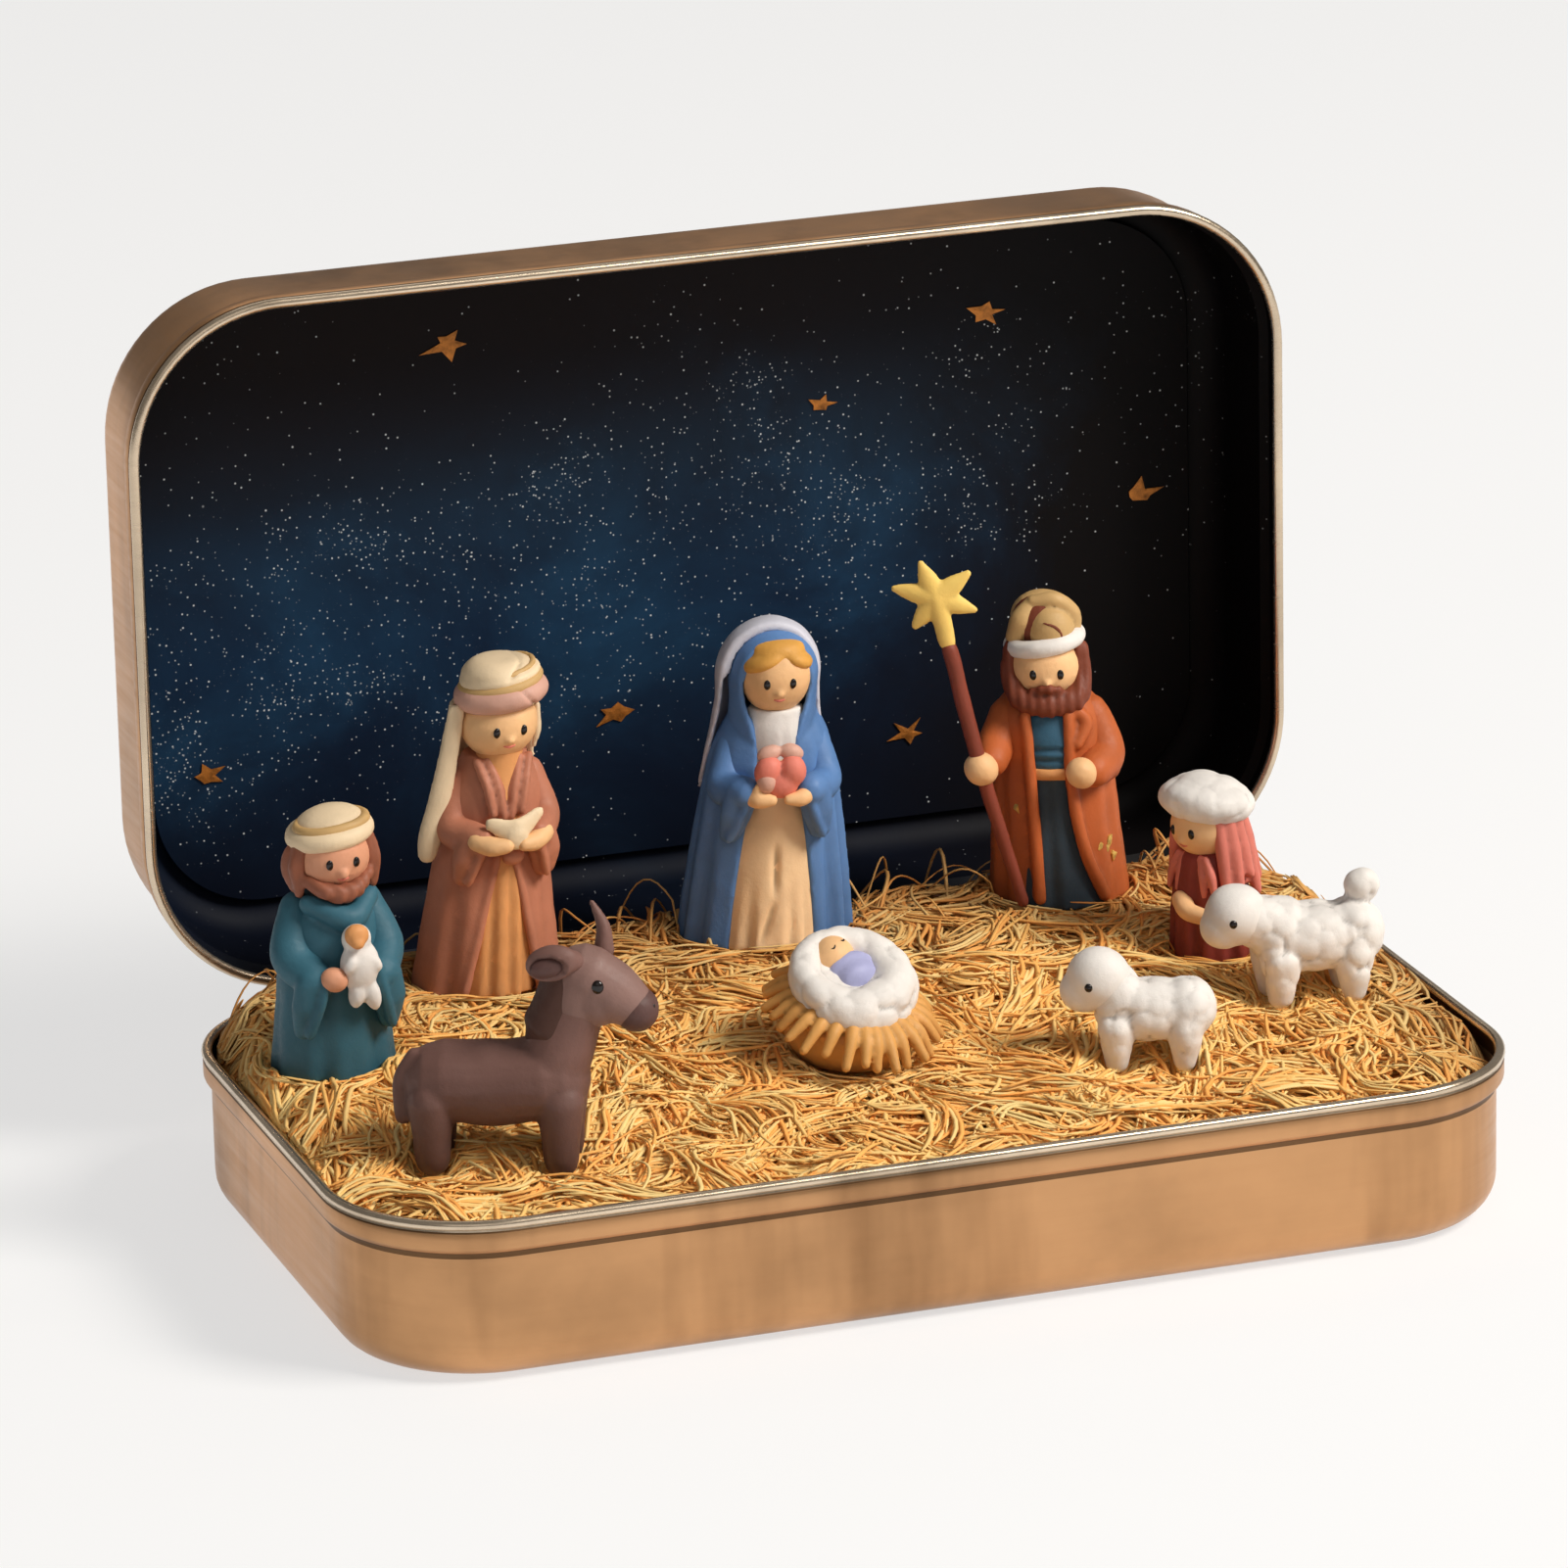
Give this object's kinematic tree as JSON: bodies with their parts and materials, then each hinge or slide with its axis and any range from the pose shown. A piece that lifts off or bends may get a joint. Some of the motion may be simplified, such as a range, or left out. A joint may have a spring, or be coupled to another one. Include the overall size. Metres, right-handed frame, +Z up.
{
  "type": "nativity tin box",
  "caption": "Hinged pocket tin standing open as a stage: straw-bedded tray, night-sky lid, and loose clay nativity figures with a cradle, donkey and sheep.",
  "frame": {"origin": "centre of the tray's flat underside", "axes": "+X along the tin's length, -Y towards the viewer, +Z up"},
  "size_m": [0.0952, 0.0678, 0.0689],
  "materials": {
    "tinplate": "satin champagne-gold lacquer",
    "pin_steel": "plain wire",
    "sky_print": "matt printed card",
    "straw": "loose dry raffia straw",
    "cream_clay": "matt modelling clay",
    "skin_clay": "matt modelling clay",
    "white_clay": "matt modelling clay",
    "hair_clay": "matt modelling clay",
    "blue_clay": "matt modelling clay",
    "pale_clay": "matt modelling clay",
    "coral_clay": "matt modelling clay",
    "robe_clay": "matt modelling clay",
    "tan_clay": "matt modelling clay",
    "rose_clay": "matt modelling clay",
    "rust_clay": "matt modelling clay",
    "slate_clay": "matt modelling clay",
    "turban_clay": "satin modelling clay",
    "staff_clay": "matt modelling clay",
    "star_clay": "matt modelling clay",
    "teal_clay": "matt modelling clay",
    "tanned_clay": "matt modelling clay",
    "red_clay": "matt modelling clay",
    "shawl_clay": "matt modelling clay",
    "lilac_clay": "matt modelling clay",
    "basket_clay": "matt modelling clay",
    "hide_clay": "matt modelling clay"
  },
  "bodies": {
    "tray": {"base_tray": "tinplate", "straw_bed": "straw", "hinge_pin": "pin_steel"},
    "lid": {"lid_shell": "tinplate", "sky_card": "sky_print"},
    "mother": {"mother_dress": "cream_clay", "mother_head": "skin_clay", "mother_cloak": "blue_clay", "mother_veil": "pale_clay", "mother_left_sleeve": "blue_clay", "mother_right_sleeve": "blue_clay", "mother_heart": "coral_clay", "mother_hands": "skin_clay"},
    "father": {"father_tunic": "tan_clay", "father_head": "skin_clay", "father_robe": "robe_clay", "father_head_cloth": "cream_clay", "father_head_band": "rose_clay", "father_cap": "cream_clay", "father_left_sleeve": "robe_clay", "father_right_sleeve": "robe_clay", "father_scroll": "cream_clay", "father_hands": "skin_clay"},
    "star_bearer": {"star_bearer_tunic": "slate_clay", "star_bearer_head": "skin_clay", "star_bearer_beard": "hair_clay", "star_bearer_coat": "rust_clay", "star_bearer_turban_roll": "white_clay", "star_bearer_turban": "turban_clay", "star_bearer_staff": "staff_clay", "star_bearer_star": "star_clay", "star_bearer_left_hand": "skin_clay", "star_bearer_right_hand": "skin_clay", "star_bearer_left_sleeve": "rust_clay", "star_bearer_right_sleeve": "rust_clay"},
    "teal_shepherd": {"teal_shepherd_robe": "teal_clay", "teal_shepherd_head": "tanned_clay", "teal_shepherd_hair": "hair_clay", "teal_shepherd_cap": "cream_clay", "teal_shepherd_left_sleeve": "teal_clay", "teal_shepherd_right_sleeve": "teal_clay", "teal_shepherd_lamb": "white_clay"},
    "young_shepherd": {"young_shepherd_robe": "red_clay", "young_shepherd_head": "skin_clay", "young_shepherd_shawl": "shawl_clay", "young_shepherd_cap": "white_clay", "young_shepherd_arm": "skin_clay"},
    "cradle": {"cradle_infant_head": "skin_clay", "cradle_swaddle": "lilac_clay", "cradle_fleece": "white_clay", "cradle_basket": "basket_clay"},
    "donkey": {"donkey_body": "hide_clay", "donkey_head": "hide_clay", "donkey_near_ear": "hide_clay", "donkey_far_ear": "hide_clay"},
    "near_sheep": {"near_sheep_body": "white_clay", "near_sheep_head": "white_clay"},
    "far_sheep": {"far_sheep_body": "white_clay", "far_sheep_head": "white_clay"}
  },
  "joints": [
    {"name": "lid_hinge", "type": "hinge", "parent": "tray", "child": "lid", "pos_m": [0, 0.02915, 0.0119], "axis": [1, 0, 0], "range_deg": [-10, 24]},
    {"name": "mother_lift", "type": "slide", "parent": "tray", "child": "mother", "axis": [0, 0, 1], "range_m": [0, 0.006]},
    {"name": "father_lift", "type": "slide", "parent": "tray", "child": "father", "axis": [0, 0, 1], "range_m": [0, 0.006]},
    {"name": "star_bearer_lift", "type": "slide", "parent": "tray", "child": "star_bearer", "axis": [0, 0, 1], "range_m": [0, 0.006]},
    {"name": "teal_shepherd_lift", "type": "slide", "parent": "tray", "child": "teal_shepherd", "axis": [0, 0, 1], "range_m": [0, 0.006]},
    {"name": "young_shepherd_lift", "type": "slide", "parent": "tray", "child": "young_shepherd", "axis": [0, 0, 1], "range_m": [0, 0.006]},
    {"name": "cradle_lift", "type": "slide", "parent": "tray", "child": "cradle", "axis": [0, 0, 1], "range_m": [0, 0.006]},
    {"name": "donkey_lift", "type": "slide", "parent": "tray", "child": "donkey", "axis": [0, 0, 1], "range_m": [0, 0.006]},
    {"name": "near_sheep_lift", "type": "slide", "parent": "tray", "child": "near_sheep", "axis": [0, 0, 1], "range_m": [0, 0.006]},
    {"name": "far_sheep_lift", "type": "slide", "parent": "tray", "child": "far_sheep", "axis": [0, 0, 1], "range_m": [0, 0.006]}
  ]
}
